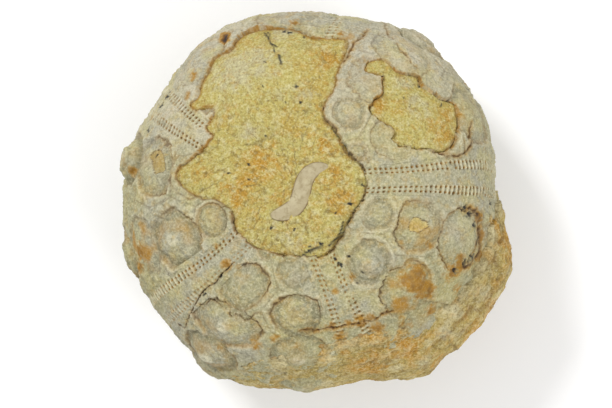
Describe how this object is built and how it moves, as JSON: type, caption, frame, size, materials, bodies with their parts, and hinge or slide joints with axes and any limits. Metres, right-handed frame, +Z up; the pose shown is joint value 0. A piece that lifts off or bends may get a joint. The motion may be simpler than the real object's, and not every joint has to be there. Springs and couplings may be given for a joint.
{
  "type": "fossil sea urchin",
  "caption": "Flattened-globe cidaroid sea urchin fossil, its knobbly stone test filled and partly crusted with limestone, lying on a worn flat base as a display piece.",
  "frame": {"origin": "middle of the bounding box across, on the flat worn underside that the stone lies on", "axes": "+Z up, near the test's pole axis, which leans 11 degrees from it; +X towards the ambulacrum that crosses the right side; +Y at right angles, towards the narrow rim above the large window"},
  "size_m": [0.0698, 0.0694, 0.0441],
  "materials": {
    "test_calcite": "weathered matt grey-cream calcite test plates, stained ochre in the hollows",
    "limestone_filling": "fine-grained matt yellow limestone that fills the test and shows where the test is broken away",
    "limestone_crust": "rough matt ochre limestone crust on one flank"
  },
  "bodies": {
    "root": {"fossil_urchin": "test_calcite"}
  },
  "joints": []
}
